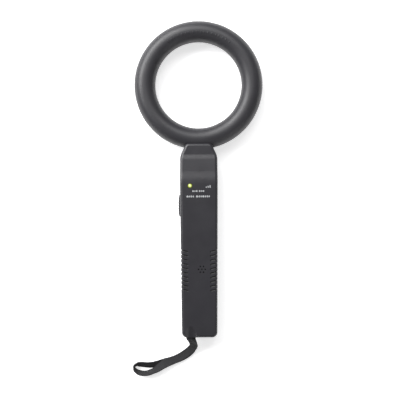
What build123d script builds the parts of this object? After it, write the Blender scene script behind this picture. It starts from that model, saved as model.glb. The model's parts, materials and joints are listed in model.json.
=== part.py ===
"""Hand-held ring-head scanner: a flat ring antenna on a straight handle.

Frame: +X to the right of the front face, +Y towards the ring, +Z out of the
front face. The scanner lies on its back, z = 0 is the rear face of the handle
and the origin is under the middle of the scanner (wrist strap left out).
All lengths are millimetres.
"""
from build123d import *
import math
import os

os.makedirs("parts", exist_ok=True)

# ---------------------------------------------------------------- dimensions
LENGTH = 348.0            # ring top to handle end
THICK = 30.0              # handle, rear face to front face
MID = THICK / 2           # parting plane of every shell
WALL = 2.2

RING_OD = 141.9
TUBE_D = 23.3
RING_R = (RING_OD - TUBE_D) / 2      # centre line of the tube
RING_Y = 104.0
TUBE_WALL = 2.0
LIP_GAP = 0.15                       # neck lip over the ring tube

END_Y = RING_Y + RING_OD / 2 - LENGTH
NECK_Y = 39.3                        # end of the neck lip
HW_END, HW_TOP = 19.4, 20.7          # half widths of the handle
CORNER_R = 5.8
EDGE_R = 3.2                         # rounding of the front and rear edges
NECK_Z = 26.5                        # front face of the neck
NECK_CORNER_R = 5.0                  # corners of the neck's end
SPIGOT_HW, SPIGOT_HZ = 8.5, 6.5      # ring spigot inside the neck

LED_X, LED_Y, LED_D = -9.6, -7.6, 5.0
LED_Z = 25.0                         # underside of the lamp flange
BTN_Y, BTN_L, BTN_W = -29.2, 23.8, 8.8
BTN_OUT, BTN_TRAVEL = 2.1, 1.2
SPK_X, SPK_Y, SPK_D = 2.9, -98.6, 20.0
HOLE_D, HOLE_PITCH = 1.5, 3.55
GRIP_Y0, GRIP_PITCH, GRIP_N = -79.6, 4.71, 10
GRIP_R, GRIP_RISE = 1.25, 0.55       # cutter radius, its centre above the surface
GRIP_IN, GRIP_TILT, GRIP_LOW = 12.9, 13.0, 7.0

DOOR_HW, DOOR_T, DOOR_Y = 15.2, 1.3, -112.0
DOOR_GAP, LEDGE_Z, DOOR_TRAVEL = 0.2, 2.7, 8.0
BAY_HW, BAY_Y = 13.8, -163.0
HOOK_Y = (-124.0, -148.0)
BAT_W, BAT_L, BAT_T = 26.5, 48.5, 17.5
BAT_Y, BAT_Z = -162.6, 4.4           # lower end and underside of the battery

PCB_HW, PCB_Y0, PCB_Y1, PCB_Z, PCB_T = 14.0, -70.0, 12.0, 10.0, 1.6
TOP = PCB_Z + PCB_T                  # component side of the board
BOARD_SCREWS = [(-11.2, -66.5), (11.2, -66.5), (-11.2, 8.5), (11.2, 8.5)]
HOUSING_SCREWS = [(-14.8, 17.0), (14.8, 17.0), (-15.0, -84.0), (15.0, -84.0)]
END_SCREW = (8.0, -168.5)

EYE_X, EYE_Y, EYE_HW = -9.9, -169.4, 5.4
PIN_D, PIN_HL = 3.0, 7.3
STRAP_TUBE_D = 1.5                   # core line of the flat wrist strap


def half_width(y):
    """Half width of the straight part of the handle at y."""
    return HW_END + (HW_TOP - HW_END) * (y - END_Y) / (0.0 - END_Y)


# ------------------------------------------------- outer form of the handle
with BuildPart() as body:
    with BuildSketch(Plane.XY):
        with BuildLine():
            c = HW_END - CORNER_R
            Line((c, END_Y), (-c, END_Y))
            CenterArc((-c, END_Y + CORNER_R), CORNER_R, 180, 90)
            CenterArc((c, END_Y + CORNER_R), CORNER_R, 270, 90)
            Line((HW_END, END_Y + CORNER_R), (HW_TOP, -2))
            Line((-HW_END, END_Y + CORNER_R), (-HW_TOP, -2))
            Line((HW_TOP, -2), (20.5, 20.5))
            Line((-HW_TOP, -2), (-20.5, 20.5))
            Spline((20.5, 20.5), (19.8, 26.0), (17.6, 31.0), (15.8, 35.0), (14.9, NECK_Y),
                   tangents=[(-0.01, 1), (-0.1, 1)])
            Spline((-20.5, 20.5), (-19.8, 26.0), (-17.6, 31.0), (-15.8, 35.0), (-14.9, NECK_Y),
                   tangents=[(0.01, 1), (0.1, 1)])
            Line((14.9, NECK_Y), (-14.9, NECK_Y))
        make_face()
    extrude(amount=THICK)
    # both faces step down towards the ring
    with BuildSketch(Plane.YZ):
        with BuildLine():
            Line((END_Y - 1, THICK), (-5.0, THICK))
            Spline((-5.0, THICK), (2.2, 29.45), (8.2, 28.55), tangents=[(1, 0), (1, -0.085)])
            Line((8.2, 28.55), (21.4, 27.43))
            Spline((21.4, 27.43), (24.4, 26.93), (27.0, NECK_Z), tangents=[(1, -0.085), (1, 0)])
            Line((27.0, NECK_Z), (NECK_Y + 1, NECK_Z))
            Line((NECK_Y + 1, NECK_Z), (NECK_Y + 1, THICK - NECK_Z))
            Line((27.0, THICK - NECK_Z), (NECK_Y + 1, THICK - NECK_Z))
            Spline((21.4, 2.57), (24.4, 3.07), (27.0, THICK - NECK_Z), tangents=[(1, 0.085), (1, 0)])
            Line((8.2, 1.45), (21.4, 2.57))
            Spline((-5.0, 0), (2.2, 0.55), (8.2, 1.45), tangents=[(1, 0), (1, 0.085)])
            Line((END_Y - 1, 0), (-5.0, 0))
            Line((END_Y - 1, 0), (END_Y - 1, THICK))
        make_face()
    extrude(amount=30, both=True, mode=Mode.INTERSECT)
    fillet(body.edges().filter_by(Axis.Z).group_by(Axis.Y)[-1], NECK_CORNER_R)
    rim = [e for e in body.edges()
           if (e.center().Z > 25.5 or e.center().Z < 4.5)
           and not (abs(e.center().X) < 1 and -170 < e.center().Y < NECK_Y - 1)]
    fillet(rim, EDGE_R)
    # scoop in the front face that leads to the strap eye
    tilt = math.radians(18)
    with BuildSketch(Plane(origin=(EYE_X, -150.5, 43.76), x_dir=(1, 0, 0),
                           z_dir=(0, -math.cos(tilt), -math.sin(tilt)))):
        Circle(10.0)
    extrude(amount=40, mode=Mode.SUBTRACT)
    # half-round grip grooves over both front edges and down the sides, outer ends higher
    lean = math.radians(GRIP_TILT)
    for i in range(GRIP_N):
        for side in (-1, 1):
            y = GRIP_Y0 - GRIP_PITCH * i
            out = Vector(side * math.cos(lean), math.sin(lean), 0)
            flat = (half_width(y) - EDGE_R - GRIP_IN) / math.cos(lean)
            bend = EDGE_R + GRIP_RISE
            inner = Vector(side * GRIP_IN, y, THICK + GRIP_RISE)
            turn = inner + out * flat
            wall = turn + out * bend - Vector(0, 0, bend)
            middle = turn + out * (bend * math.sin(math.pi / 4)) - Vector(0, 0, bend * (1 - math.cos(math.pi / 4)))
            with BuildLine() as groove:
                Line(inner, turn)
                ThreePointArc(turn, middle, wall)
                Line(wall, (wall.X, wall.Y, GRIP_LOW))
            with BuildSketch(Plane(origin=inner, z_dir=out)):
                Circle(GRIP_R)
            sweep(path=groove.wires()[0], mode=Mode.SUBTRACT)
            with Locations(inner, (wall.X, wall.Y, GRIP_LOW)):
                Sphere(GRIP_R, mode=Mode.SUBTRACT)

# ------------------------------------------------ both handle shells in one
with BuildPart() as shell:
    add(body.part)
    # main hollow, then the two lower steps of the neck
    with BuildSketch(Plane.XY.offset(WALL)):
        with BuildLine():
            Polyline((HW_END - WALL, END_Y + WALL), (HW_TOP - WALL, 3.0), (-HW_TOP + WALL, 3.0),
                     (-HW_END + WALL, END_Y + WALL), close=True)
        make_face()
    extrude(amount=THICK - 2 * WALL, mode=Mode.SUBTRACT)
    with BuildSketch(Plane.XY.offset(4.4)):
        with Locations((0, 12.0)):
            Rectangle(34.8, 20.0)
    extrude(amount=THICK - 8.8, mode=Mode.SUBTRACT)
    with BuildSketch(Plane.XY.offset(5.9)):
        with BuildLine():
            Polyline((17.0, 21.0), (15.9, 26.5), (14.2, 30.2), (-14.2, 30.2), (-15.9, 26.5),
                     (-17.0, 21.0), close=True)
        make_face()
    extrude(amount=THICK - 11.8, mode=Mode.SUBTRACT)
    # passage for the ring spigot
    with BuildSketch(Plane(origin=(0, 29, MID), x_dir=(1, 0, 0), z_dir=(0, 1, 0))):
        Rectangle(2 * SPIGOT_HW + 0.3, 2 * SPIGOT_HZ + 0.3)
    extrude(amount=12, mode=Mode.SUBTRACT)
    # ledge and floor that carry the battery door
    with BuildSketch(Plane.XY.offset(DOOR_T + DOOR_GAP)):
        with Locations((0, (END_Y + 1.5 + DOOR_Y + 2) / 2)):
            Rectangle(2 * 17.4, DOOR_Y + 2 - END_Y - 1.5)
        with Locations((0, (BAY_Y + DOOR_Y) / 2)):
            Rectangle(2 * BAY_HW, DOOR_Y - BAY_Y, mode=Mode.SUBTRACT)
    extrude(amount=LEDGE_Z - DOOR_T - DOOR_GAP)
    # wall between the battery and the strap eye, and the walls of the eye
    with BuildSketch(Plane.XY.offset(LEDGE_Z)):
        with Locations((0, BAY_Y - 0.9)):
            Rectangle(2 * 17.4, 1.4)
    extrude(amount=THICK - WALL - LEDGE_Z)
    with BuildSketch(Plane.XY.offset(5.9)):
        with Locations(((-17.2 + EYE_X + EYE_HW + 1.6) / 2, (END_Y + 1 + BAY_Y - 0.5) / 2)):
            Rectangle(17.2 + EYE_X + EYE_HW + 1.6, BAY_Y - 0.5 - END_Y - 1)
    extrude(amount=THICK - WALL + 0.1 - 5.9)
    # low wall between the battery bay and the board
    with BuildSketch(Plane.XY.offset(WALL - 0.2)):
        with Locations((0, -106.0)):
            Rectangle(35.0, 1.5)
    extrude(amount=6.0)
    # screw bosses
    with BuildSketch(Plane.XY.offset(1.0)):
        with Locations(*HOUSING_SCREWS):
            Circle(2.9)
    extrude(amount=THICK - 2.6)
    with BuildSketch(Plane.XY.offset(LEDGE_Z - 0.2)):
        with Locations(END_SCREW):
            Circle(2.9)
    extrude(amount=THICK - LEDGE_Z - 1.0)
    with BuildSketch(Plane.XY.offset(1.0)):
        with Locations(*BOARD_SCREWS):
            Circle(2.6)
    extrude(amount=PCB_Z - 1.0)
    # collar that locates the sounder
    with BuildSketch(Plane.XY.offset(23.4)):
        with Locations((SPK_X, SPK_Y)):
            Circle(SPK_D / 2 + 1.9)
            Circle(SPK_D / 2 + 0.3, mode=Mode.SUBTRACT)
    extrude(amount=THICK - WALL - 23.4 + 0.2)
    # keep everything inside the outer form
    add(body.part, mode=Mode.INTERSECT)
    # ring tube seat
    with BuildSketch(Plane(origin=(0, RING_Y, MID), x_dir=(1, 0, 0), z_dir=(0, -1, 0))):
        with Locations((RING_R, 0)):
            Circle(TUBE_D / 2 + LIP_GAP)
    revolve(axis=Axis((0, RING_Y, 0), (0, 0, 1)), revolution_arc=360, mode=Mode.SUBTRACT)
    # recess for the door plate, open at the end of the handle
    with BuildSketch(Plane.XY.offset(-1)):
        with Locations((0, (END_Y - 1 + DOOR_Y) / 2)):
            Rectangle(2 * (DOOR_HW + DOOR_GAP), DOOR_Y - END_Y + 1)
    extrude(amount=1 + DOOR_T + DOOR_GAP, mode=Mode.SUBTRACT)
    # mouth of the battery bay
    with BuildSketch(Plane.XY):
        with Locations((0, (BAY_Y + DOOR_Y) / 2)):
            Rectangle(2 * BAY_HW, DOOR_Y - BAY_Y)
    extrude(amount=LEDGE_Z + 0.1, mode=Mode.SUBTRACT)
    # entry slots for the door hooks
    with BuildSketch(Plane.XY.offset(DOOR_T)):
        with Locations(*[(s * (BAY_HW + 0.65), y - DOOR_TRAVEL) for y in HOOK_Y for s in (-1, 1)]):
            Rectangle(1.7, 6.8)
    extrude(amount=2.0, mode=Mode.SUBTRACT)
    # strap eye, open at the end of the handle
    with BuildSketch(Plane(origin=(EYE_X, END_Y - 1, MID), x_dir=(1, 0, 0), z_dir=(0, 1, 0))):
        RectangleRounded(2 * EYE_HW, 15.0, 1.5)
    extrude(amount=1 + 9.1, mode=Mode.SUBTRACT)
    # seat of the strap pin in the parting plane
    with BuildSketch(Plane(origin=(EYE_X - PIN_HL - 0.1, EYE_Y, MID), x_dir=(0, 1, 0), z_dir=(1, 0, 0))):
        Circle(PIN_D / 2 + 0.02)
    extrude(amount=2 * PIN_HL + 0.2, mode=Mode.SUBTRACT)
    # side opening for the button, stadium-shaped
    with BuildSketch(Plane(origin=(-HW_TOP - 2, BTN_Y, MID), x_dir=(0, 1, 0), z_dir=(1, 0, 0))):
        SlotOverall(BTN_L + 0.5, BTN_W + 0.5)
    extrude(amount=2 + WALL + 1.2, mode=Mode.SUBTRACT)
    # lamp hole and sound holes
    with BuildSketch(Plane.XY.offset(22)):
        with Locations((LED_X, LED_Y)):
            Circle(LED_D / 2 + 0.15)
        with Locations((SPK_X, SPK_Y)):
            Circle(HOLE_D / 2)
            with PolarLocations(HOLE_PITCH, 6):
                Circle(HOLE_D / 2)
    extrude(amount=10, mode=Mode.SUBTRACT)
    # screw holes: head recess, clearance, thread core
    with BuildSketch(Plane.XY.offset(-1)):
        with Locations(*HOUSING_SCREWS):
            Circle(2.6)
    extrude(amount=1 + 4.5, mode=Mode.SUBTRACT)
    with BuildSketch(Plane.XY.offset(1)):
        with Locations(END_SCREW):
            Circle(2.6)
    extrude(amount=4.2, mode=Mode.SUBTRACT)
    with BuildSketch(Plane.XY.offset(3)):
        with Locations(*HOUSING_SCREWS, END_SCREW):
            Circle(1.32)
    extrude(amount=19.6, mode=Mode.SUBTRACT)
    with BuildSketch(Plane.XY.offset(3.4)):
        with Locations(*BOARD_SCREWS):
            Circle(1.02)
    extrude(amount=8.0, mode=Mode.SUBTRACT)
    # fine shadow line along the joint of the shells
    with BuildSketch(Plane.XY.offset(MID - 0.2)):
        with BuildLine():
            Polyline((HW_END, END_Y + CORNER_R), (HW_TOP, -2), (20.5, 20.5), (24, 20.5),
                     (24, END_Y + CORNER_R), close=True)
        make_face()
        mirror(about=Plane.YZ)
        offset(amount=0.3)
    extrude(amount=0.4, mode=Mode.SUBTRACT)

with BuildPart() as handle_front_shell:
    add(shell.part)
    split(bisect_by=Plane.XY.offset(MID), keep=Keep.TOP)
handle_front_shell.part.label = "handle_front_shell"
export_step(handle_front_shell.part, "parts/handle_front_shell.step")

with BuildPart() as handle_rear_shell:
    add(shell.part)
    split(bisect_by=Plane.XY.offset(MID), keep=Keep.BOTTOM)
handle_rear_shell.part.label = "handle_rear_shell"
export_step(handle_rear_shell.part, "parts/handle_rear_shell.step")

# ------------------------------------------------------------- battery door
with BuildPart() as battery_door:
    add(body.part)
    with BuildSketch(Plane.XY.offset(-1)):
        with Locations((0, (END_Y - 1 + DOOR_Y - DOOR_GAP) / 2)):
            Rectangle(2 * DOOR_HW, DOOR_Y - DOOR_GAP - END_Y + 1)
    extrude(amount=1 + DOOR_T, mode=Mode.INTERSECT)
    # hooks that pass the entry slots and slide behind the ledge
    with BuildSketch(Plane.XY.offset(DOOR_T)):
        with Locations(*[(s * 13.0, y) for y in HOOK_Y for s in (-1, 1)]):
            Rectangle(1.2, 6.0)
    extrude(amount=2.6)
    with BuildSketch(Plane.XY.offset(LEDGE_Z + 0.2)):
        with Locations(*[(s * 13.7, y) for y in HOOK_Y for s in (-1, 1)]):
            Rectangle(2.4, 6.0)
    extrude(amount=1.0)
    # thumb grooves across the outer face and a plain direction arrow
    with BuildSketch(Plane.XY.offset(-1)):
        with Locations(*[(0, -118.0 - 2.4 * k) for k in range(5)]):
            SlotOverall(15.0, 1.1)
        with Locations((0, -135.0)):
            Triangle(c=7.0, a=7.0, b=7.0, rotation=180)
    extrude(amount=1 + 0.4, mode=Mode.SUBTRACT)
battery_door.part.label = "battery_door"
export_step(battery_door.part, "parts/battery_door.step")

# --------------------------------------------------------------- ring shells
ring_plane = Plane(origin=(0, RING_Y, MID), x_dir=(1, 0, 0), z_dir=(0, -1, 0))
ring_axis = Axis((0, RING_Y, 0), (0, 0, 1))
start = math.radians(-115)           # short arc of the tube around the spigot
tube_plane = Plane(origin=(0, RING_Y, MID), x_dir=(math.cos(start), math.sin(start), 0),
                   z_dir=(math.sin(start), -math.cos(start), 0))

with BuildPart() as ring_front_shell:
    # spigot with a collar behind the neck lip
    with BuildSketch(Plane.XY.offset(MID)):
        with Locations((0, 35.0)):
            Rectangle(2 * SPIGOT_HW, 16.0)
    extrude(amount=SPIGOT_HZ)
    with BuildSketch(Plane.XY.offset(MID)):
        with Locations((0, 28.3)):
            Rectangle(22.0, 3.4)
    extrude(amount=8.2)
    with BuildSketch(tube_plane):
        with Locations((RING_R, 0)):
            Circle(TUBE_D / 2 - 1.0)
    revolve(axis=ring_axis, revolution_arc=50, mode=Mode.SUBTRACT)
    # half of the tube wall, with a shadow line along the joint
    with BuildSketch(ring_plane):
        with Locations((RING_R, 0)):
            Circle(TUBE_D / 2)
            Circle(TUBE_D / 2 - TUBE_WALL, mode=Mode.SUBTRACT)
            with Locations((0, -TUBE_D / 2)):
                Rectangle(TUBE_D + 2, TUBE_D, mode=Mode.SUBTRACT)
        with Locations((RING_OD / 2 + 0.7, 0.1), (RING_OD / 2 - TUBE_D - 0.7, 0.1)):
            Rectangle(2.0, 0.2, mode=Mode.SUBTRACT)
    revolve(axis=ring_axis, revolution_arc=360)
    # passage for the coil leads
    with BuildSketch(Plane.XY.offset(MID - 1)):
        with Locations((0, 32.0)):
            Rectangle(2 * (SPIGOT_HW - 2), 13.0)
    extrude(amount=1 + SPIGOT_HZ - 2, mode=Mode.SUBTRACT)
ring_front_shell.part.label = "ring_front_shell"
export_step(ring_front_shell.part, "parts/ring_front_shell.step")

with BuildPart() as ring_rear_shell:
    add(ring_front_shell.part)
    mirror(about=Plane.XY.offset(MID), mode=Mode.REPLACE)
ring_rear_shell.part.label = "ring_rear_shell"
export_step(ring_rear_shell.part, "parts/ring_rear_shell.step")

# ------------------------------------------------------------- antenna coil
COIL_IN, COIL_BASE, COIL_OUT = 55.0, 57.0, 62.6
with BuildPart() as coil_former:
    with BuildSketch(ring_plane):
        with BuildLine():
            Polyline((COIL_IN, -5), (COIL_OUT, -5), (COIL_OUT, -3.9), (COIL_BASE, -3.9),
                     (COIL_BASE, 3.9), (COIL_OUT, 3.9), (COIL_OUT, 5), (COIL_IN, 5), close=True)
        make_face()
    revolve(axis=Axis((0, RING_Y, 0), (0, 0, 1)), revolution_arc=360)
coil_former.part.label = "coil_former"
export_step(coil_former.part, "parts/coil_former.step")

with BuildPart() as antenna_coil:
    with BuildSketch(ring_plane):
        with Locations(((COIL_BASE + 0.05 + 61.4) / 2, 0)):
            RectangleRounded(61.4 - COIL_BASE - 0.05, 7.6, 1.0)
    revolve(axis=Axis((0, RING_Y, 0), (0, 0, 1)), revolution_arc=360)
antenna_coil.part.label = "antenna_coil"
export_step(antenna_coil.part, "parts/antenna_coil.step")

with BuildPart() as coil_tape:
    band_mid = (COIL_IN + COIL_OUT) / 2
    with Locations((0, RING_Y, MID)):
        with PolarLocations(band_mid, 8, start_angle=22.5):
            Box(COIL_OUT - COIL_IN + 1.2, 6.0, 10.8)
        with PolarLocations(band_mid, 8, start_angle=22.5):
            Box(COIL_OUT - COIL_IN + 0.7, 7.0, 10.3, mode=Mode.SUBTRACT)
coil_tape.part.label = "coil_tape"
export_step(coil_tape.part, "parts/coil_tape.step")

# ------------------------------------------------------------ circuit board
with BuildPart() as circuit_board:
    with BuildSketch(Plane.XY.offset(PCB_Z)):
        with Locations((0, (PCB_Y0 + PCB_Y1) / 2)):
            RectangleRounded(2 * PCB_HW, PCB_Y1 - PCB_Y0, 1.5)
        with Locations(*BOARD_SCREWS):
            Circle(1.35, mode=Mode.SUBTRACT)
        with Locations((LED_X - 1.27, LED_Y), (LED_X + 1.27, LED_Y)):
            Circle(0.4, mode=Mode.SUBTRACT)
    extrude(amount=PCB_T)
circuit_board.part.label = "circuit_board"
export_step(circuit_board.part, "parts/circuit_board.step")

with BuildPart() as ic_chips:
    # processor, radio front end and sounder driver, each with its leads
    for cx, cy, w, l, h, n, pitch in ((2.5, -24.0, 7.5, 18.0, 2.4, 14, 1.27),
                                      (4.5, -45.5, 5.6, 10.2, 2.0, 8, 1.27),
                                      (-6.5, -50.0, 3.9, 5.0, 1.6, 4, 1.27)):
        with BuildSketch(Plane.XY.offset(TOP + 0.15)):
            with Locations((cx, cy)):
                Rectangle(w, l)
                with Locations((-w / 2 + 1.0, l / 2 - 1.0)):
                    Circle(0.45, mode=Mode.SUBTRACT)
        extrude(amount=h)
        with BuildSketch(Plane.XY.offset(TOP)):
            with Locations((cx, cy)):
                with GridLocations(w + 1.2, pitch, 2, n):
                    Rectangle(1.6, 0.45)
        extrude(amount=0.5)
ic_chips.part.label = "ic_chips"
export_step(ic_chips.part, "parts/ic_chips.step")

with BuildPart() as capacitors:
    for cx, cy, d, h in ((9.3, -57.0, 6.3, 11.0), (-10.0, -58.5, 5.0, 11.0)):
        with BuildSketch(Plane.XY.offset(TOP)):
            with Locations((cx, cy)):
                Circle(d / 2)
        extrude(amount=h)
    # ceramic blocks
    with BuildSketch(Plane.XY.offset(TOP)):
        with Locations((10.5, -10.0), (10.5, -14.0), (10.5, -32.0), (-3.5, -38.0), (-10.5, -43.0), (1.5, -57.0)):
            Rectangle(3.2, 1.6)
    extrude(amount=1.2)
capacitors.part.label = "capacitors"
export_step(capacitors.part, "parts/capacitors.step")

with BuildPart() as resistors:
    with BuildSketch(Plane.XY.offset(TOP)):
        with Locations((10.5, -18.0), (10.5, -21.0), (10.5, -24.0), (10.5, -27.0), (-3.5, -41.0),
                       (-10.5, -46.5), (1.5, -60.0), (1.5, -63.0), (-4.0, -3.0), (4.0, -3.0)):
            Rectangle(2.0, 1.25)
    extrude(amount=0.55)
resistors.part.label = "resistors"
export_step(resistors.part, "parts/resistors.step")

with BuildPart() as crystal:
    with BuildSketch(Plane.XY.offset(TOP)):
        with Locations((-9.0, -18.5)):
            SlotOverall(8.8, 4.6)
    extrude(amount=3.5)
    fillet(crystal.faces().sort_by(Axis.Z)[-1].edges(), 0.6)
crystal.part.label = "crystal"
export_step(crystal.part, "parts/crystal.step")

with BuildPart() as wire_connectors:
    # battery, sounder and coil sockets
    with BuildSketch(Plane.XY.offset(TOP)):
        with Locations((-6.0, -67.0), (6.0, -67.0), (0, 7.5)):
            Rectangle(5.4, 5.0)
    extrude(amount=5.0)
wire_connectors.part.label = "wire_connectors"
export_step(wire_connectors.part, "parts/wire_connectors.step")

with BuildPart() as board_screws:
    with BuildSketch(Plane.XY.offset(TOP)):
        with Locations(*BOARD_SCREWS):
            Circle(2.1)
    extrude(amount=1.5)
    fillet(board_screws.faces().filter_by(Axis.Z).group_by(Axis.Z)[-1].edges(), 0.5)
    with BuildSketch(Plane.XY.offset(TOP + 1.5)):
        with Locations(*BOARD_SCREWS):
            Rectangle(2.4, 0.5)
            Rectangle(0.5, 2.4)
    extrude(amount=-0.8, mode=Mode.SUBTRACT)
    with BuildSketch(Plane.XY.offset(TOP)):
        with Locations(*BOARD_SCREWS):
            Circle(1.0)
    extrude(amount=-7.6)
board_screws.part.label = "board_screws"
export_step(board_screws.part, "parts/board_screws.step")

with BuildPart() as housing_screws:
    heads = [(x, y, 2.6) for x, y in HOUSING_SCREWS] + [(END_SCREW[0], END_SCREW[1], 3.3)]
    for x, y, z in heads:
        with BuildSketch(Plane.XY.offset(z)):
            with Locations((x, y)):
                Circle(2.4)
        extrude(amount=1.9 if z < 3 else 1.9)
        with BuildSketch(Plane.XY.offset(z)):
            with Locations((x, y)):
                Rectangle(2.8, 0.55)
                Rectangle(0.55, 2.8)
        extrude(amount=0.9, mode=Mode.SUBTRACT)
        with BuildSketch(Plane.XY.offset(z + 1.9)):
            with Locations((x, y)):
                Circle(1.3)
        extrude(amount=16.5)
housing_screws.part.label = "housing_screws"
export_step(housing_screws.part, "parts/housing_screws.step")

# -------------------------------------------------------------- status lamp
with BuildPart() as indicator_led:
    with BuildSketch(Plane(origin=(LED_X, LED_Y, LED_Z), x_dir=(1, 0, 0), z_dir=(0, -1, 0))):
        with BuildLine():
            Line((0, 0), (2.9, 0))
            Line((2.9, 0), (2.9, 1.0))
            Line((2.9, 1.0), (2.5, 1.0))
            Line((2.5, 1.0), (2.5, 3.6))
            CenterArc((0, 3.6), 2.5, 0, 90)
            Line((0, 6.1), (0, 0))
        make_face()
    revolve(axis=Axis((LED_X, LED_Y, 0), (0, 0, 1)), revolution_arc=360)
    with BuildSketch(Plane.XY.offset(LED_Z)):
        with Locations((LED_X - 1.27, LED_Y), (LED_X + 1.27, LED_Y)):
            Rectangle(0.5, 0.5)
    extrude(amount=-(LED_Z - PCB_Z + 0.8))
indicator_led.part.label = "indicator_led"
export_step(indicator_led.part, "parts/indicator_led.step")

with BuildPart() as led_spacer:
    with BuildSketch(Plane.XY.offset(TOP)):
        with Locations((LED_X, LED_Y)):
            Circle(2.9)
            with Locations((-1.27, 0), (1.27, 0)):
                Circle(0.6, mode=Mode.SUBTRACT)
    extrude(amount=LED_Z - TOP)
led_spacer.part.label = "led_spacer"
export_step(led_spacer.part, "parts/led_spacer.step")

# ------------------------------------------------------- button and switch
SW_X0 = -13.4                        # actuator side of the switch
CAP_OUT = -half_width(BTN_Y) - BTN_OUT       # crown of the cap
CAP_IN = -half_width(BTN_Y) + WALL + 0.25    # outer face of the cap flange
with BuildPart() as button_cap:
    with BuildSketch(Plane(origin=(CAP_IN, BTN_Y, MID), x_dir=(0, 1, 0), z_dir=(-1, 0, 0))):
        SlotOverall(BTN_L, BTN_W)
    extrude(amount=CAP_IN - CAP_OUT)
    # crowned outer face
    with BuildSketch(Plane(origin=(0, BTN_Y, MID), x_dir=(1, 0, 0), z_dir=(0, 0, 1))):
        with Locations((CAP_OUT + 130.0, 0)):
            Circle(130.0)
    extrude(amount=20, both=True, mode=Mode.INTERSECT)
    fillet(button_cap.faces().sort_by(Axis.X)[0].edges(), 0.9)
    # flange that keeps the cap inside the shells
    with BuildSketch(Plane(origin=(CAP_IN, BTN_Y, MID), x_dir=(0, 1, 0), z_dir=(1, 0, 0))):
        SlotOverall(BTN_L + 3.0, BTN_W + 3.0)
    extrude(amount=1.2)
    # three finger ribs
    with BuildSketch(Plane(origin=(CAP_OUT + 0.4, BTN_Y, MID), x_dir=(0, 1, 0), z_dir=(-1, 0, 0))):
        with Locations((-3.0, 0), (0, 0), (3.0, 0)):
            SlotOverall(5.6, 1.0, rotation=90)
    extrude(amount=0.65)
button_cap.part.label = "button_cap"
export_step(button_cap.part, "parts/button_cap.step")

with BuildPart() as switch_plunger:
    with BuildSketch(Plane(origin=(CAP_IN + 1.2, BTN_Y, MID), x_dir=(0, 1, 0), z_dir=(1, 0, 0))):
        Circle(1.5)
    extrude(amount=SW_X0 - CAP_IN - 1.2 + 1.0)
switch_plunger.part.label = "switch_plunger"
export_step(switch_plunger.part, "parts/switch_plunger.step")

with BuildPart() as push_switch:
    with BuildSketch(Plane.XY.offset(TOP)):
        with Locations((SW_X0 + 3.5, BTN_Y)):
            Rectangle(7.0, 7.0)
    extrude(amount=7.0)
    with BuildSketch(Plane(origin=(SW_X0, BTN_Y, MID), x_dir=(0, 1, 0), z_dir=(1, 0, 0))):
        Circle(1.6)
    extrude(amount=3.0, mode=Mode.SUBTRACT)
push_switch.part.label = "push_switch"
export_step(push_switch.part, "parts/push_switch.step")

# ------------------------------------------------------------------ sounder
with BuildPart() as sounder:
    with BuildSketch(Plane.XY.offset(24.0)):
        with Locations((SPK_X, SPK_Y)):
            Circle(SPK_D / 2)
    extrude(amount=3.3)
    with BuildSketch(Plane.XY.offset(22.4)):
        with Locations((SPK_X, SPK_Y)):
            Circle(6.0)
    extrude(amount=1.6)
    with BuildSketch(Plane.XY.offset(27.3)):
        with Locations((SPK_X, SPK_Y)):
            Circle(SPK_D / 2 - 1.2)
    extrude(amount=-0.8, mode=Mode.SUBTRACT)
    with BuildSketch(Plane.XY.offset(26.5)):
        with Locations((SPK_X, SPK_Y)):
            Circle(4.0)
    extrude(amount=0.5)
sounder.part.label = "sounder"
export_step(sounder.part, "parts/sounder.step")

with BuildPart() as sounder_cloth:
    with BuildSketch(Plane.XY.offset(27.35)):
        with Locations((SPK_X, SPK_Y)):
            Circle(SPK_D / 2 - 0.2)
    extrude(amount=0.4)
sounder_cloth.part.label = "sounder_cloth"
export_step(sounder_cloth.part, "parts/sounder_cloth.step")

# ------------------------------------------------------------------ battery
BAT_MID_Z = BAT_Z + BAT_T / 2
BAT_TOP = BAT_Y + BAT_L
with BuildPart() as battery:
    with BuildSketch(Plane(origin=(0, BAT_Y, BAT_MID_Z), x_dir=(1, 0, 0), z_dir=(0, 1, 0))):
        RectangleRounded(BAT_W, BAT_T, 2.5)
    extrude(amount=BAT_L)
battery.part.label = "battery"
export_step(battery.part, "parts/battery.step")

with BuildPart() as battery_terminals:
    with BuildSketch(Plane(origin=(0, BAT_TOP, BAT_MID_Z), x_dir=(1, 0, 0), z_dir=(0, 1, 0))):
        with Locations((-6.35, 0)):
            Circle(2.8)
        with Locations((6.35, 0)):
            RegularPolygon(4.2, 6)
    extrude(amount=2.8)
battery_terminals.part.label = "battery_terminals"
export_step(battery_terminals.part, "parts/battery_terminals.step")

with BuildPart() as battery_snap:
    with BuildSketch(Plane(origin=(0, BAT_TOP + 0.1, BAT_MID_Z), x_dir=(1, 0, 0), z_dir=(0, 1, 0))):
        SlotOverall(25.0, 12.8)
    extrude(amount=5.4)
    fillet(battery_snap.faces().sort_by(Axis.Y)[-1].edges(), 1.0)
    with BuildSketch(Plane(origin=(0, BAT_TOP, BAT_MID_Z), x_dir=(1, 0, 0), z_dir=(0, 1, 0))):
        with Locations((-6.35, 0)):
            Circle(3.0)
        with Locations((6.35, 0)):
            Circle(4.4)
    extrude(amount=3.1, mode=Mode.SUBTRACT)
battery_snap.part.label = "battery_snap"
export_step(battery_snap.part, "parts/battery_snap.step")

with BuildPart() as battery_foam:
    with BuildSketch(Plane.XY.offset(BAT_Z + BAT_T + 0.1)):
        with Locations((0, BAT_Y + 24.0)):
            RectangleRounded(18.0, 34.0, 1.5)
    extrude(amount=THICK - WALL - BAT_Z - BAT_T - 0.1)
battery_foam.part.label = "battery_foam"
export_step(battery_foam.part, "parts/battery_foam.step")


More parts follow.
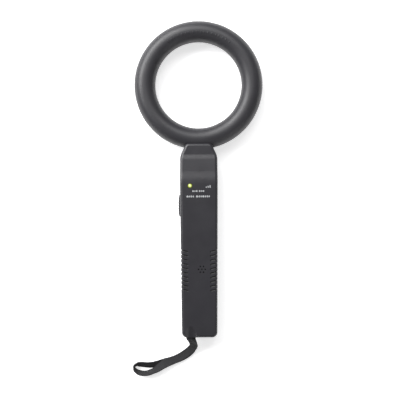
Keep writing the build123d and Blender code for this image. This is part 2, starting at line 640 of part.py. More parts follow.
# --------------------------------------------------------- wires and strap
def arc_radii(points, share=0.45):
    """Arc radius at each inner point: share of the shorter run over tan(half turn)."""
    radii = []
    for a, b, c in zip(points, points[1:], points[2:]):
        u, v = Vector(*b) - Vector(*a), Vector(*c) - Vector(*b)
        half = math.radians(u.get_angle(v)) / 2
        radii.append(share * min(u.length, v.length) / math.tan(half))
    return radii


SNAP_Y = BAT_TOP + 5.5
RED = [(-6.35, SNAP_Y, BAT_MID_Z), (-6.35, -101.0, BAT_MID_Z), (-8.6, -88.0, 12.7), (-7.2, -77.0, 14.0),
       (-7.2, -69.5, 14.0)]
BLACK = [(6.35, SNAP_Y, BAT_MID_Z), (6.35, -101.5, BAT_MID_Z), (0.5, -91.0, 12.0), (-4.8, -79.0, 14.0),
         (-4.8, -69.5, 14.0)]
SPK_A = [(0.6, -93.5, 22.4), (0.6, -93.5, 18.6), (2.5, -85.0, 15.2), (4.8, -77.0, 14.0), (4.8, -69.5, 14.0)]
SPK_B = [(4.6, -93.5, 22.4), (4.6, -93.5, 19.2), (6.4, -85.5, 16.2), (7.2, -77.5, 14.0), (7.2, -69.5, 14.0)]
COIL_A = [(-1.8, 42.6, MID), (-1.8, 36.0, MID), (-2.8, 26.0, 15.4), (-1.2, 16.5, 14.0), (-1.2, 10.0, 14.0)]
COIL_B = [(1.8, 42.6, MID), (1.8, 35.0, MID), (2.8, 25.0, 15.0), (1.2, 16.0, 14.0), (1.2, 10.0, 14.0)]


def section_plane(points):
    return Plane(origin=points[0], z_dir=Vector(*points[1]) - Vector(*points[0]))


with BuildPart() as battery_lead_red:
    with BuildLine():
        FilletPolyline(*RED, radius=arc_radii(RED))
    with BuildSketch(section_plane(RED)):
        Circle(0.7)
    sweep()
battery_lead_red.part.label = "battery_lead_red"
export_step(battery_lead_red.part, "parts/battery_lead_red.step")

with BuildPart() as battery_lead_black:
    with BuildLine():
        FilletPolyline(*BLACK, radius=arc_radii(BLACK))
    with BuildSketch(section_plane(BLACK)):
        Circle(0.7)
    sweep()
battery_lead_black.part.label = "battery_lead_black"
export_step(battery_lead_black.part, "parts/battery_lead_black.step")

with BuildPart() as sounder_leads:
    for pts in (SPK_A, SPK_B):
        with BuildLine() as lead_line:
            FilletPolyline(*pts, radius=arc_radii(pts))
        with BuildSketch(section_plane(pts)):
            Circle(0.55)
        sweep(path=lead_line.wires()[0])
sounder_leads.part.label = "sounder_leads"
export_step(sounder_leads.part, "parts/sounder_leads.step")

with BuildPart() as coil_leads:
    for pts in (COIL_A, COIL_B):
        with BuildLine() as lead_line:
            FilletPolyline(*pts, radius=arc_radii(pts))
        with BuildSketch(section_plane(pts)):
            Circle(0.55)
        sweep(path=lead_line.wires()[0])
coil_leads.part.label = "coil_leads"
export_step(coil_leads.part, "parts/coil_leads.step")

with BuildPart() as strap_pin:
    with BuildSketch(Plane(origin=(EYE_X - PIN_HL, EYE_Y, MID), x_dir=(0, 1, 0), z_dir=(1, 0, 0))):
        Circle(PIN_D / 2)
    extrude(amount=2 * PIN_HL)
strap_pin.part.label = "strap_pin"
export_step(strap_pin.part, "parts/strap_pin.step")

# wrist strap: one webbing band round the pin, out to a loop and back under itself
STRAP_LOOP = [(-10.4, -172.0, 12.0), (-9.6, -166.2, 12.0), (-9.5, -166.2, 18.0), (-9.4, -173.5, 18.4),
              (-8.7, -178.0, 16.9), (-7.1, -182.0, 11.3), (-7.1, -185.9, 6.5), (-9.5, -190.3, 4.0),
              (-14.5, -195.4, 3.3), (-20.3, -199.1, 3.3), (-27.5, -201.9, 3.2), (-34.6, -204.0, 3.8),
              (-41.1, -206.8, 5.5), (-46.8, -211.1, 5.9), (-52.4, -214.6, 4.9), (-59.0, -216.8, 4.7),
              (-65.6, -216.7, 4.7), (-71.1, -214.4, 4.7), (-74.2, -210.8, 4.7), (-71.6, -206.9, 4.7),
              (-65.6, -206.8, 4.6), (-58.5, -207.7, 4.6), (-51.6, -207.4, 4.0), (-44.8, -206.1, 1.9),
              (-38.4, -204.6, 1.6)]
STRAP_RETURN = [(-10.4, -172.0, 12.0), (-11.17, -177.6, 12.0), (-9.5, -181.5, 7.6), (-8.2, -185.9, 3.5),
                (-9.9, -190.8, 1.7), (-14.7, -195.5, 1.6), (-20.4, -199.2, 1.6), (-27.2, -201.8, 1.6),
                (-33.0, -203.33, 1.6), (-38.4, -204.6, 1.6)]

with BuildPart() as strap_loop:
    with BuildLine() as loop_line:
        FilletPolyline(*STRAP_LOOP, radius=arc_radii(STRAP_LOOP))
    with BuildSketch(section_plane(STRAP_LOOP)):
        Circle(STRAP_TUBE_D / 2)
    sweep()
strap_loop.part.label = "strap_loop"
export_step(strap_loop.part, "parts/strap_loop.step")

with BuildPart() as strap_return:
    with BuildLine() as return_line:
        FilletPolyline(*STRAP_RETURN, radius=arc_radii(STRAP_RETURN))
    with BuildSketch(section_plane(STRAP_RETURN)):
        Circle(STRAP_TUBE_D / 2)
    sweep()
strap_return.part.label = "strap_return"
export_step(strap_return.part, "parts/strap_return.step")

for label, points, line, solid in (("strap_loop", STRAP_LOOP, loop_line, strap_loop),
                                   ("strap_return", STRAP_RETURN, return_line, strap_return)):
    length = sum(e.length for e in line.edges())
    print(label, "length", round(length, 1), "volume", round(solid.part.volume, 1),
          "section x length", round(length * math.pi * STRAP_TUBE_D ** 2 / 4, 1),
          "radii", [round(r, 1) for r in arc_radii(points)])
print("parts written")
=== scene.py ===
"""Looks of a hand-held ring-head scanner that lies on its back, in metres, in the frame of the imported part."""
import json
import math

import bmesh
import bpy
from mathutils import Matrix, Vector


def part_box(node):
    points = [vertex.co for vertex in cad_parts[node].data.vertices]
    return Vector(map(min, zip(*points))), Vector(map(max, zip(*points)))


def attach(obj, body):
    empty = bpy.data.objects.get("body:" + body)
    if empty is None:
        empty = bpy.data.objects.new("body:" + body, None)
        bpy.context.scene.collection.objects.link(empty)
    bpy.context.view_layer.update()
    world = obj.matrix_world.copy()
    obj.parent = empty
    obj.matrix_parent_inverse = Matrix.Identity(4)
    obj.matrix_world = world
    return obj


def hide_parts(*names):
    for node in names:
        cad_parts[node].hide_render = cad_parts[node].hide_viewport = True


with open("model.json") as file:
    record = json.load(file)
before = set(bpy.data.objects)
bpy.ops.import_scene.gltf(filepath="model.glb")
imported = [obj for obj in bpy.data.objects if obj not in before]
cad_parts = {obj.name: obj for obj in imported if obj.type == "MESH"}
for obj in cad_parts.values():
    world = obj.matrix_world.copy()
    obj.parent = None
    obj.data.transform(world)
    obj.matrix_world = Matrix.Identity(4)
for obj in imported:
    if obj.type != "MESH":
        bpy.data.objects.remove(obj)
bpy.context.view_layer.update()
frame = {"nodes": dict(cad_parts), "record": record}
N = frame["nodes"]
scene = bpy.context.scene
MM = 0.001

# ------------------------------------------------------------------ camera
cam_data = bpy.data.cameras.new("camera")
cam_data.sensor_width = 36.0
cam_data.lens = 18.0 / math.tan(math.radians(14.0))
cam_data.clip_start, cam_data.clip_end = 0.02, 20.0
cam = bpy.data.objects.new("camera", cam_data)
cam.location = (0.0122347, -0.0282005, 0.9024313)
cam.rotation_euler = [math.radians(a) for a in (0.3249, 0.724, -0.3352)]
scene.collection.objects.link(cam)
scene.camera = cam

# ------------------------------------------------------------------- strap
STRAP_LOOP = [(-10.4, -172.0, 12.0), (-9.6, -166.2, 12.0), (-9.5, -166.2, 18.0), (-9.4, -173.5, 18.4),
              (-8.5, -178.0, 16.9), (-6.6, -182.0, 11.3), (-6.8, -186.0, 6.5), (-9.9, -189.8, 4.0),
              (-15.1, -194.3, 3.3), (-20.8, -198.0, 3.3), (-27.7, -201.3, 3.2), (-34.6, -204.1, 3.8),
              (-41.1, -207.0, 5.5), (-46.8, -210.6, 5.9), (-52.4, -214.1, 4.9), (-59.0, -216.6, 4.7),
              (-65.6, -216.7, 4.7), (-71.1, -214.6, 4.7), (-74.5, -210.8, 4.7), (-72.0, -206.6, 4.7),
              (-65.6, -206.5, 4.6), (-58.5, -207.3, 4.6), (-51.6, -207.1, 4.0), (-44.8, -206.5, 1.9),
              (-38.4, -204.8, 1.6)]
STRAP_RETURN = [(-10.4, -172.0, 12.0), (-11.0, -177.6, 12.0), (-8.9, -181.5, 7.6), (-7.4, -185.9, 3.5),
                (-9.4, -190.9, 1.7), (-14.4, -195.3, 1.6), (-20.4, -198.8, 1.6), (-27.2, -201.5, 1.6),
                (-33.0, -203.3, 1.6), (-38.4, -204.8, 1.6)]
WEB_W, WEB_T = 9.0 * MM, 1.15 * MM


def route_line(name, points, resolution=10):
    """The points of the route's own smooth curve, in metres."""
    curve = bpy.data.curves.new(name + "_route", "CURVE")
    curve.dimensions = "3D"
    spline = curve.splines.new("NURBS")
    spline.points.add(len(points) - 1)
    for p, co in zip(spline.points, points):
        p.co = (co[0] * MM, co[1] * MM, co[2] * MM, 1.0)
    spline.order_u = 3
    spline.use_endpoint_u = True
    spline.resolution_u = resolution
    holder = bpy.data.objects.new(name + "_route", curve)
    mesh = bpy.data.meshes.new_from_object(holder)
    line = []
    for v in mesh.vertices:
        if not line or (v.co - line[-1]).length > 0.05 * MM:
            line.append(v.co.copy())
    bpy.data.meshes.remove(mesh)
    bpy.data.objects.remove(holder)
    return line


def keyed(keys, s):
    """Smooth value at s from a list of (s, value)."""
    if s <= keys[0][0]:
        return keys[0][1]
    for (a, va), (b, vb) in zip(keys, keys[1:]):
        if s <= b:
            t = (s - a) / (b - a)
            t = t * t * (3 - 2 * t)
            return va + (vb - va) * t
    return keys[-1][1]


def ribbon(name, points, twist, wrap=0.0):
    """Flat webbing along the route. twist is [(distance in mm, degrees)], the lean of the width to the
    left of travel; up to wrap mm the width stays along X, where the band goes round its pin."""
    line = route_line(name, points)
    run = [0.0]
    for a, b in zip(line, line[1:]):
        run.append(run[-1] + (b - a).length)
    half, thick, r = WEB_W / 2, WEB_T / 2, WEB_T * 0.36
    # rounded section with a slightly thicker woven edge on each side
    section = []
    top = [(-half + r, thick), (-half + 1.1 * MM, thick), (-half + 1.5 * MM, thick * 0.86), (-half * 0.3, thick * 0.86),
           (half * 0.3, thick * 0.86), (half - 1.5 * MM, thick * 0.86), (half - 1.1 * MM, thick), (half - r, thick)]
    section += top
    section += [(half - r * 0.3, thick - r * 0.3), (half, thick - r), (half, -thick + r), (half - r * 0.3, -thick + r * 0.3)]
    section += [(x, -y) for x, y in reversed(top)]
    section += [(-half + r * 0.3, -thick + r * 0.3), (-half, -thick + r), (-half, thick - r), (-half + r * 0.3, thick - r * 0.3)]
    bm = bmesh.new()
    uv = bm.loops.layers.uv.new("UVMap")
    around = [0.0]
    for (x0, y0), (x1, y1) in zip(section, section[1:] + section[:1]):
        around.append(around[-1] + math.hypot(x1 - x0, y1 - y0))
    rings = []
    count = len(line)
    for i, p in enumerate(line):
        t = (line[min(i + 1, count - 1)] - line[max(i - 1, 0)]).normalized()
        s = run[i] / MM
        phi = math.radians(keyed(twist, s))
        flat = Vector((0, 0, 1)).cross(t)
        if s < wrap or flat.length < 0.2:
            left = Vector((1, 0, 0))
            left = (left - t * left.dot(t)).normalized()
        else:
            left = flat.normalized()
        up = t.cross(left).normalized()
        w = left * math.cos(phi) + up * math.sin(phi)
        n = up * math.cos(phi) - left * math.sin(phi)
        rings.append([bm.verts.new(p + w * x + n * y) for x, y in section])
    m = len(section)
    for i in range(count - 1):
        for j in range(m):
            k = (j + 1) % m
            f = bm.faces.new((rings[i][j], rings[i][k], rings[i + 1][k], rings[i + 1][j]))
            f.smooth = True
            for loop, u, v in zip(f.loops, (around[j], around[j + 1], around[j + 1], around[j]),
                                  (run[i], run[i], run[i + 1], run[i + 1])):
                loop[uv].uv = (u * 100, v * 100)
    for ends, flip in ((rings[0], True), (rings[-1], False)):
        f = bm.faces.new(list(reversed(ends)) if flip else ends)
        for loop in f.loops:
            loop[uv].uv = (0.0, 0.0)
    bmesh.ops.recalc_face_normals(bm, faces=bm.faces)
    mesh = bpy.data.meshes.new(name)
    bm.to_mesh(mesh)
    bm.free()
    o = bpy.data.objects.new(name, mesh)
    scene.collection.objects.link(o)
    return o, line, run[-1]


LOOP_TWIST = [(0, 0), (16, 0), (22, 26), (27, 38), (33, 12), (42, 8), (62, 13), (72, 22), (80, 30),
              (90, 58), (98, 62), (106, 66), (110, 75), (113.5, 84), (116.5, 68), (121, 46), (128, 42), (135, 38), (142, 18), (146, 3), (152, 0)]
RETURN_TWIST = [(0, 0), (3, 0), (9, 45), (14, 40), (22, 15), (34, 10), (46, 8), (54, 0)]
web_loop, loop_line, loop_len = ribbon("strap_webbing", STRAP_LOOP, LOOP_TWIST, wrap=17.5)
web_return, return_line, return_len = ribbon("strap_webbing_under", STRAP_RETURN, RETURN_TWIST)
print("webbing", round(loop_len / MM, 1), round(return_len / MM, 1))


# --------------------------------------------------------------- materials
class Net:
    """Small helper around one material's node tree."""

    def __init__(self, name):
        self.mat = bpy.data.materials.new(name)
        self.mat.use_nodes = True
        self.t = self.mat.node_tree
        self.t.nodes.clear()
        self.out = self.t.nodes.new("ShaderNodeOutputMaterial")
        self.bsdf = self.t.nodes.new("ShaderNodeBsdfPrincipled")
        self.t.links.new(self.bsdf.outputs[0], self.out.inputs["Surface"])

    def node(self, kind, **kw):
        n = self.t.nodes.new(kind)
        for k, v in kw.items():
            if k in n.inputs.keys() if not isinstance(k, int) else False:
                n.inputs[k].default_value = v
            else:
                setattr(n, k, v)
        return n

    def link(self, a, b):
        self.t.links.new(a, b)

    def coord(self, which="Object"):
        n = self.t.nodes.new("ShaderNodeTexCoord")
        return n.outputs[which]

    def noise(self, scale, detail=2.0, rough=0.5, vec=None):
        n = self.t.nodes.new("ShaderNodeTexNoise")
        n.inputs["Scale"].default_value = scale
        n.inputs["Detail"].default_value = detail
        n.inputs["Roughness"].default_value = rough
        self.link(vec if vec is not None else self.coord(), n.inputs["Vector"])
        return n.outputs["Fac"]

    def ramp(self, fac, stops):
        n = self.t.nodes.new("ShaderNodeValToRGB")
        e = n.color_ramp.elements
        while len(e) < len(stops):
            e.new(0.5)
        for el, (p, c) in zip(e, stops):
            el.position = p
            el.color = (*c, 1.0) if len(c) == 3 else c
        self.link(fac, n.inputs["Fac"])
        return n.outputs["Color"]

    def range(self, fac, a, b, c=0.0, d=1.0):
        n = self.t.nodes.new("ShaderNodeMapRange")
        for k, v in (("From Min", a), ("From Max", b), ("To Min", c), ("To Max", d)):
            n.inputs[k].default_value = v
        self.link(fac, n.inputs["Value"])
        return n.outputs["Result"]

    def math(self, op, a, b=None):
        n = self.t.nodes.new("ShaderNodeMath")
        n.operation = op
        for i, v in enumerate((a, b)):
            if v is None:
                continue
            if isinstance(v, (int, float)):
                n.inputs[i].default_value = v
            else:
                self.link(v, n.inputs[i])
        return n.outputs[0]

    def bump(self, height, strength=0.5, distance=0.0001, normal=None):
        n = self.t.nodes.new("ShaderNodeBump")
        n.inputs["Strength"].default_value = strength
        n.inputs["Distance"].default_value = distance
        self.link(height, n.inputs["Height"])
        if normal is not None:
            self.link(normal, n.inputs["Normal"])
        return n.outputs["Normal"]

    def set(self, **kw):
        names = {"color": "Base Color", "rough": "Roughness", "metal": "Metallic", "spec": "Specular IOR Level",
                 "coat": "Coat Weight", "coat_rough": "Coat Roughness", "sheen": "Sheen Weight",
                 "sheen_rough": "Sheen Roughness", "ior": "IOR", "emit": "Emission Strength",
                 "emit_color": "Emission Color", "normal": "Normal", "trans": "Transmission Weight",
                 "aniso": "Anisotropic", "sheen_tint": "Sheen Tint"}
        for k, v in kw.items():
            s = self.bsdf.inputs[names[k]]
            if isinstance(v, bpy.types.NodeSocket):
                self.link(v, s)
            elif isinstance(v, (tuple, list)):
                s.default_value = (*v, 1.0) if len(v) == 3 else v
            else:
                s.default_value = v
        return self.mat


def groove_painted_shade(n):
    """Painted shade in the grip grooves: a colour factor of 1 on the handle's skin, lower with the depth under that
    skin.
    """
    lo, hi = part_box("handle_front_shell")
    top, edge = hi[2], 3.2 * MM
    widest, taper = (hi[0] - lo[0]) / 2, 1.3 * MM
    sep = n.t.nodes.new("ShaderNodeSeparateXYZ")
    n.link(n.coord(), sep.inputs[0])
    along = n.range(sep.outputs["Y"], float(lo[1]), 0.0, float(widest - taper - edge), float(widest - edge))
    dx = n.math("MAXIMUM", n.math("SUBTRACT", n.math("ABSOLUTE", sep.outputs["X"]), along), 0.0)
    dz = n.math("MAXIMUM", n.math("SUBTRACT", sep.outputs["Z"], float(top - edge)), 0.0)
    r = n.math("SQRT", n.math("ADD", n.math("MULTIPLY", dx, dx), n.math("MULTIPLY", dz, dz)))
    # painted shade: 0.15 deep down in a groove, rising to 1 at the skin
    tone = n.range(r, edge - 0.50 * MM, edge - 0.06 * MM, 0.15, 1.0)
    # only beside the grooves: along the grip and above the rear face
    off = n.math("MAXIMUM", n.math("GREATER_THAN", n.math("ABSOLUTE", n.math("ADD", sep.outputs["Y"], 0.1008)), 0.0240),
                 n.math("LESS_THAN", sep.outputs["Z"], 0.0055))
    return n.math("MAXIMUM", tone, off)


def moulded(name, color, rough=0.46, grain=1600, depth=0.35, vary=0.10, spec=0.5, grooves=False):
    """Moulded plastic: fine spark texture, faint tone drift, light handling polish; with grooves, painted shade darkens
    the colour down in the grip grooves.
    """
    n = Net(name)
    drift = n.noise(26, 3.0, 0.55)
    fine = n.noise(900, 2.0, 0.6)
    lo = [c * (1 - vary) for c in color]
    hi = [c * (1 + vary) for c in color]
    col = n.ramp(drift, [(0.3, lo), (0.72, hi)])
    speck = n.range(fine, 0.35, 0.75, 0.94, 1.06)
    if grooves:
        # painted shade: the colour is darkened down in the grip grooves
        tone = groove_painted_shade(n)
        speck = n.math("MULTIPLY", speck, tone)
    mix = n.t.nodes.new("ShaderNodeMix")
    mix.data_type = "RGBA"
    mix.blend_type = "MULTIPLY"
    mix.inputs["Factor"].default_value = 1.0
    n.link(col, mix.inputs["A"])
    comb = n.t.nodes.new("ShaderNodeCombineColor")
    for i in range(3):
        n.link(speck, comb.inputs[i])
    n.link(comb.outputs[0], mix.inputs["B"])
    worn = n.noise(60, 4.0, 0.6)
    r = n.range(worn, 0.3, 0.75, rough - 0.05, rough + 0.05)
    # rougher down in the grip grooves, along the same painted shade mask
    if grooves:
        r = n.math("ADD", r, n.range(tone, 0.15, 1.0, 0.17, 0.0))
    spark = n.noise(grain, 2.0, 0.7)
    return n.set(color=mix.outputs["Result"], rough=r, spec=spec, normal=n.bump(spark, depth, 0.00006))


def simple(name, color, rough=0.4, metal=0.0, grain=700, depth=0.15, vary=0.08, **more):
    n = Net(name)
    drift = n.noise(180, 3.0, 0.6)
    col = n.ramp(drift, [(0.3, [c * (1 - vary) for c in color]), (0.75, [min(1, c * (1 + vary)) for c in color])])
    r = n.range(n.noise(320, 3.0, 0.6), 0.3, 0.75, max(0.03, rough - 0.06), rough + 0.06)
    return n.set(color=col, rough=r, metal=metal, normal=n.bump(n.noise(grain, 2.0, 0.6), depth, 0.00005), **more)


M = {}
M["shell_plastic"] = moulded("shell_abs", (0.0208, 0.0200, 0.0243), rough=0.38, grooves=True)
M["ring_plastic"] = moulded("ring_abs", (0.0235, 0.0228, 0.0268), rough=0.45, grain=1300, depth=0.4)
M["button_grey"] = moulded("button_abs", (0.036, 0.036, 0.0385), rough=0.5, depth=0.25)
M["nylon_white"] = simple("nylon", (0.72, 0.71, 0.66), 0.42)
M["switch_black"] = simple("moulded_epoxy", (0.02, 0.02, 0.021), 0.5)
M["capacitor_sleeve"] = simple("sleeve", (0.03, 0.04, 0.10), 0.3)
M["resistor_ceramic"] = simple("chip_glaze", (0.03, 0.03, 0.035), 0.3)
M["screw_steel"] = simple("zinc_steel", (0.62, 0.62, 0.64), 0.3, metal=1.0)
M["former_plastic"] = moulded("former_abs", (0.62, 0.61, 0.55), rough=0.5)
M["tape_yellow"] = simple("polyester_tape", (0.72, 0.48, 0.05), 0.25)
M["battery_jacket"] = simple("printed_jacket", (0.05, 0.055, 0.065), 0.3, vary=0.05)
M["terminal_nickel"] = simple("nickel", (0.75, 0.73, 0.69), 0.22, metal=1.0)
M["snap_black"] = simple("soft_vinyl", (0.025, 0.025, 0.026), 0.55)
M["foam_grey"] = simple("foam", (0.11, 0.11, 0.115), 0.9, grain=1400, depth=0.9)
M["wire_red"] = simple("pvc_red", (0.45, 0.02, 0.016), 0.35)
M["wire_black"] = simple("pvc_black", (0.015, 0.015, 0.016), 0.35)
M["sounder_can"] = simple("pressed_can", (0.55, 0.55, 0.56), 0.35, metal=1.0)


def winding_material():
    """Enamelled copper: fine turns that run round the ring."""
    n = Net("enamelled_copper")
    geo = n.coord()
    sep = n.t.nodes.new("ShaderNodeSeparateXYZ")
    n.link(geo, sep.inputs[0])
    ring_y = (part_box("antenna_coil")[0][1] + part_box("antenna_coil")[1][1]) / 2
    dy = n.math("SUBTRACT", sep.outputs["Y"], float(ring_y))
    rad = n.math("SQRT", n.math("ADD", n.math("MULTIPLY", sep.outputs["X"], sep.outputs["X"]), n.math("MULTIPLY", dy, dy)))
    a = n.math("SINE", n.math("MULTIPLY", rad, 2 * math.pi / 0.0004))
    b = n.math("SINE", n.math("MULTIPLY", sep.outputs["Z"], 2 * math.pi / 0.0004))
    turns = n.math("MAXIMUM", a, b)
    col = n.ramp(n.range(turns, -1, 1), [(0.0, (0.28, 0.09, 0.03)), (0.7, (0.72, 0.30, 0.12))])
    return n.set(color=col, metal=0.85, rough=0.32, normal=n.bump(turns, 0.7, 0.0001))


def board_material():
    """Solder mask with faint copper tracks under it."""
    n = Net("solder_mask")
    v = n.t.nodes.new("ShaderNodeTexBrick")
    v.inputs["Scale"].default_value = 240.0
    v.inputs["Mortar Size"].default_value = 0.04
    v.inputs["Color1"].default_value = (0.012, 0.10, 0.035, 1)
    v.inputs["Color2"].default_value = (0.015, 0.13, 0.045, 1)
    v.inputs["Mortar"].default_value = (0.03, 0.22, 0.08, 1)
    n.link(n.coord(), v.inputs["Vector"])
    return n.set(color=v.outputs["Color"], rough=0.28, coat=0.3, coat_rough=0.2, normal=n.bump(v.outputs["Fac"], 0.3, 0.00004))


def cloth_material(name, color, pitch=0.0005):
    n = Net(name)
    sep = n.t.nodes.new("ShaderNodeSeparateXYZ")
    n.link(n.coord(), sep.inputs[0])
    a = n.math("SINE", n.math("MULTIPLY", sep.outputs["X"], 2 * math.pi / pitch))
    b = n.math("SINE", n.math("MULTIPLY", sep.outputs["Y"], 2 * math.pi / pitch))
    w = n.math("MULTIPLY", a, b)
    col = n.ramp(n.range(w, -1, 1), [(0.0, [c * 0.5 for c in color]), (1.0, color)])
    return n.set(color=col, rough=0.85, sheen=0.3, normal=n.bump(w, 0.8, 0.0001))


def webbing_material():
    """Narrow polyester webbing: rows of small chevrons across the band, from its own surface coordinates."""
    n = Net("polyester_webbing")
    uv = n.coord("UV")
    sep = n.t.nodes.new("ShaderNodeSeparateXYZ")
    n.link(uv, sep.inputs[0])
    u = n.math("MULTIPLY", sep.outputs["X"], 10.0)       # millimetres across
    v = n.math("MULTIPLY", sep.outputs["Y"], 10.0)       # millimetres along
    zig = n.math("PINGPONG", u, 0.6)
    rows = n.math("SINE", n.math("MULTIPLY", n.math("ADD", v, zig), 2 * math.pi / 0.9))
    ribs = n.math("SINE", n.math("MULTIPLY", u, 2 * math.pi / 0.6))
    weave = n.math("ADD", n.math("MULTIPLY", rows, 0.6), n.math("MULTIPLY", ribs, 0.4))
    fuzz = n.noise(2600, 3.0, 0.7)
    high = n.math("ADD", n.math("MULTIPLY", weave, 0.8), n.math("MULTIPLY", fuzz, 0.7))
    col = n.ramp(n.range(high, -0.6, 1.2), [(0.0, (0.009, 0.009, 0.0098)), (0.55, (0.027, 0.027, 0.029)), (1.0, (0.050, 0.050, 0.053))])
    return n.set(color=col, rough=0.82, spec=0.3, sheen=0.04, sheen_rough=0.5, normal=n.bump(high, 0.9, 0.00018))


def lamp_material():
    """Tinted epoxy lamp: bright core over the die, deeper tint at the rim."""
    n = Net("lamp_epoxy")
    lo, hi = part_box("indicator_led")
    cx, cy = (lo[0] + hi[0]) / 2, (lo[1] + hi[1]) / 2
    sep = n.t.nodes.new("ShaderNodeSeparateXYZ")
    n.link(n.coord(), sep.inputs[0])
    dx = n.math("SUBTRACT", sep.outputs["X"], float(cx))
    dy = n.math("SUBTRACT", sep.outputs["Y"], float(cy))
    rad = n.math("SQRT", n.math("ADD", n.math("MULTIPLY", dx, dx), n.math("MULTIPLY", dy, dy)))
    core = n.range(rad, 0.0, 0.0026)
    glow = n.ramp(core, [(0.0, (0.64, 0.70, 0.46)), (0.40, (0.58, 0.64, 0.34)), (0.66, (0.30, 0.34, 0.07)), (0.92, (0.07, 0.08, 0.010))])
    tint = n.ramp(core, [(0.0, (0.55, 0.62, 0.22)), (0.6, (0.30, 0.36, 0.05)), (0.95, (0.06, 0.07, 0.01))])
    return n.set(color=tint, rough=0.2, coat=0.5, coat_rough=0.1, emit_color=glow, emit=0.8)


M["enamelled_copper"] = winding_material()
M["board_green"] = board_material()
M["cloth_black"] = cloth_material("dust_cloth", (0.03, 0.03, 0.03))
M["webbing"] = webbing_material()
M["led_lens"] = lamp_material()

slot_of = {s["node"]: s["material_slot"] for s in frame["record"]["subparts"]}
for name, obj in N.items():
    mat = M["ring_plastic"] if name in ("ring_front_shell", "ring_rear_shell") else M[slot_of[name]]
    if not obj.material_slots:
        obj.data.materials.append(mat)
    for slot in obj.material_slots:
        slot.material = mat



def bar_tack(name, line):
    """Sewn bar across the band where its two ends are joined: rows of raised stitches round the webbing."""
    end, back = line[-1], line[-4]
    along = (end - back).normalized()
    side = Vector((0, 0, 1)).cross(along).normalized()
    up = along.cross(side).normalized()
    bm = bmesh.new()
    turns, half_w, half_t, span = 9, WEB_W / 2 + 0.12 * MM, WEB_T / 2 + 0.10 * MM, 2.8 * MM
    thread = 0.19 * MM
    for k in range(turns):
        at = end + along * (span * (k / (turns - 1) - 0.5))
        lean = along * (0.12 * MM)
        loop = []
        for sx, sy, a0 in ((1, 1, 0), (-1, 1, 90), (-1, -1, 180), (1, -1, 270)):
            for j in range(4):
                a = math.radians(a0 + 30 * j)
                x = sx * (half_w - 0.4 * MM) + 0.4 * MM * math.cos(a)
                y = sy * (half_t - 0.4 * MM) + 0.4 * MM * math.sin(a)
                loop.append(at + side * x + up * y + lean * (1 if sy > 0 else -1))
        rings = []
        for i, p in enumerate(loop):
            t = (loop[(i + 1) % len(loop)] - loop[i - 1]).normalized()
            out = t.cross(along).normalized()
            rings.append([bm.verts.new(p + out * thread * math.cos(b) + along * thread * math.sin(b))
                          for b in (math.radians(60 * q) for q in range(6))])
        for i in range(len(rings)):
            m = (i + 1) % len(rings)
            for q in range(6):
                n = (q + 1) % 6
                f = bm.faces.new((rings[i][q], rings[i][n], rings[m][n], rings[m][q]))
                f.smooth = True
    bmesh.ops.recalc_face_normals(bm, faces=bm.faces)
    mesh = bpy.data.meshes.new(name)
    bm.to_mesh(mesh)
    bm.free()
    o = bpy.data.objects.new(name, mesh)
    scene.collection.objects.link(o)
    o.data.materials.append(simple("sewing_thread", (0.022, 0.022, 0.023), 0.6, grain=5000, depth=0.5, sheen=0.2))
    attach(o, "scanner")
    return o


tack = bar_tack("strap_tack", return_line)
for web, node, line, length, exit_, more in ((web_loop, "strap_loop", loop_line, loop_len, (-0.0094, -0.174, 0.018), []),
                                             (web_return, "strap_return", return_line, return_len,
                                              (-0.0106, -0.174, 0.012), [tack])):
    web.data.materials.append(M["webbing"])
    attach(web, "scanner")
    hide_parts(node)

# ---------------------------------------------------------- printed marks
def print_material():
    n = Net("pad_print")
    fade = n.noise(900, 3.0, 0.65)
    col = n.ramp(fade, [(0.3, (0.29, 0.30, 0.31)), (0.7, (0.44, 0.45, 0.46))])
    return n.set(color=col, rough=0.5)


def plates(name, outlines, lift, depth=0.00004):
    """Thin raised ink: each outline is a closed list of (x, y) in metres on the flat face."""
    bm = bmesh.new()
    for pts in outlines:
        low = [bm.verts.new((x, y, lift - depth)) for x, y in pts]
        high = [bm.verts.new((x, y, lift + depth)) for x, y in pts]
        bm.faces.new(high)
        bm.faces.new(list(reversed(low)))
        for i in range(len(pts)):
            k = (i + 1) % len(pts)
            bm.faces.new((low[i], low[k], high[k], high[i]))
    bmesh.ops.recalc_face_normals(bm, faces=bm.faces)
    mesh = bpy.data.meshes.new(name)
    bm.to_mesh(mesh)
    bm.free()
    o = bpy.data.objects.new(name, mesh)
    scene.collection.objects.link(o)
    o.data.materials.append(M["print"])
    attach(o, "scanner")
    return o


def pill(cx, cy, w, h, steps=5):
    r = min(w, h) / 2
    pts = []
    for sx, sy, a0 in ((1, 1, 0), (-1, 1, 90), (-1, -1, 180), (1, -1, 270)):
        for k in range(steps + 1):
            a = math.radians(a0 + 90 * k / steps)
            pts.append((cx + sx * (w / 2 - r) + r * math.cos(a), cy + sy * (h / 2 - r) + r * math.sin(a)))
    return [(x * MM, y * MM) for x, y in pts]


M["print"] = print_material()
face_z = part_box("handle_front_shell")[1][2]
# three plain upright bars of rising height, on one base line
marks = [pill(x, -10.0 + h / 2, 1.1, h) for x, h in ((8.1, 1.5), (10.2, 2.3), (12.3, 3.1))]
# two plain dash rows in place of the lettering
x = -7.2
for w in (1.9, 0.9, 1.9, 0.0, 1.9, 0.9, 1.9):
    if w:
        marks.append(pill(x + w / 2, -13.5, w, 1.8))
    x += w + 0.6 if w else 0.7
x = -13.5
for w in (2.4, 1.3, 1.3, 1.3, 0.0, 2.4, 1.3, 1.3, 2.4, 1.3, 1.3, 1.3):
    if w:
        marks.append(pill(x + w / 2, -19.3, w, 2.1))
    x += w + 0.62 if w else 1.6
printed = plates("front_marks", marks, face_z)


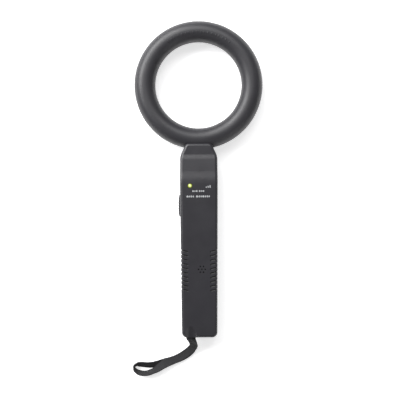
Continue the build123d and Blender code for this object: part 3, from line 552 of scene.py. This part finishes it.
def crest_ticks(name, count=27, a0=126.0, a1=51.0):
    """Row of plain raised ticks moulded on the ring's front crest, where the real one has raised print."""
    lo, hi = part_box("ring_front_shell")
    tube_r = hi[2] - lo[2]
    ring_r = (hi[0] - lo[0]) / 2 - tube_r
    cy, mid = hi[1] - (hi[0] - lo[0]) / 2, hi[2] - tube_r
    bm = bmesh.new()
    # tick widths repeat in a plain pattern, with a gap after each group
    widths = (1.7, 0.8, 1.7, 1.7, 0.8, 1.7, 0.0)
    at, k = 0.0, 0
    spans = []
    while len(spans) < count:
        w = widths[k % len(widths)]
        if w:
            spans.append((at, at + w))
            at += w + 1.0
        else:
            at += 1.2
        k += 1
    scale = math.radians(a1 - a0) / at
    rows, cols, high = 6, 3, 0.42 * MM
    for s0, s1 in spans:
        grid = []
        for i in range(rows + 1):
            tilt = math.radians(-20.0 + 15.0 * i / rows)
            for j in range(cols + 1):
                a = math.radians(a0) + scale * (s0 + (s1 - s0) * j / cols)
                rim = i in (0, rows) or j in (0, cols)
                r = tube_r + (-0.05 * MM if rim else high)
                flat = ring_r + r * math.sin(tilt)
                grid.append(bm.verts.new((flat * math.cos(a), cy + flat * math.sin(a), mid + r * math.cos(tilt))))
        low = []
        for i in range(rows + 1):
            tilt = math.radians(-20.0 + 15.0 * i / rows)
            for j in range(cols + 1):
                a = math.radians(a0) + scale * (s0 + (s1 - s0) * j / cols)
                flat = ring_r + (tube_r - 0.3 * MM) * math.sin(tilt)
                low.append(bm.verts.new((flat * math.cos(a), cy + flat * math.sin(a), mid + (tube_r - 0.3 * MM) * math.cos(tilt))))
        n = cols + 1
        for g, up in ((grid, True), (low, False)):
            for i in range(rows):
                for j in range(cols):
                    q = (g[i * n + j], g[i * n + j + 1], g[(i + 1) * n + j + 1], g[(i + 1) * n + j])
                    f = bm.faces.new(q if up else tuple(reversed(q)))
                    f.smooth = up
        edge = [(0, j) for j in range(cols)] + [(i, cols) for i in range(rows)] \
            + [(rows, j) for j in range(cols, 0, -1)] + [(i, 0) for i in range(rows, 0, -1)]
        for (i0, j0), (i1, j1) in zip(edge, edge[1:] + edge[:1]):
            bm.faces.new((grid[i0 * n + j0], grid[i1 * n + j1], low[i1 * n + j1], low[i0 * n + j0]))
    bmesh.ops.recalc_face_normals(bm, faces=bm.faces)
    mesh = bpy.data.meshes.new(name)
    bm.to_mesh(mesh)
    bm.free()
    o = bpy.data.objects.new(name, mesh)
    scene.collection.objects.link(o)
    o.data.materials.append(M["ring_plastic"])
    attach(o, "scanner")
    return o


ticks = crest_ticks("ring_marks")

# ------------------------------------------------------------------ studio
floor_mesh = bpy.data.meshes.new("floor")
bm = bmesh.new()
bmesh.ops.create_grid(bm, x_segments=1, y_segments=1, size=9.0)
bm.to_mesh(floor_mesh)
bm.free()
floor = bpy.data.objects.new("floor", floor_mesh)
floor.location = (0, 0, -0.0002)
scene.collection.objects.link(floor)
fm = Net("pale_floor")
floor.data.materials.append(fm.set(color=(0.93, 0.93, 0.935), rough=0.9, spec=0.1, emit_color=(1.0, 1.0, 1.0), emit=0.57))

world = bpy.data.worlds.new("studio")
world.use_nodes = True
world.node_tree.nodes["Background"].inputs["Color"].default_value = (1.0, 1.0, 1.0, 1.0)
world.node_tree.nodes["Background"].inputs["Strength"].default_value = 0.26
scene.world = world


def softbox(name, azimuth, tilt, distance, size, power, size_y=None):
    """Area light on a sphere round the scanner: azimuth from +X, tilt off the vertical."""
    a, t = math.radians(azimuth), math.radians(tilt)
    data = bpy.data.lights.new(name, "AREA")
    data.shape = "RECTANGLE"
    data.size, data.size_y = size, size_y or size
    data.energy = power
    o = bpy.data.objects.new(name, data)
    o.location = (distance * math.sin(t) * math.cos(a), distance * math.sin(t) * math.sin(a) + 0.02, distance * math.cos(t))
    aim = Vector((0, 0.02, 0)) - o.location
    o.rotation_mode = "QUATERNION"
    o.rotation_quaternion = aim.to_track_quat("-Z", "Y")
    scene.collection.objects.link(o)
    return o


softbox("key", 138, 51, 1.5, 1.5, 40, 0.75)
softbox("top", 90, 33, 1.7, 1.0, 9, 0.8)
softbox("fill", -50, 63, 1.8, 0.8, 3.2)

scene.view_settings.view_transform = "Standard"
scene.view_settings.look = "None"
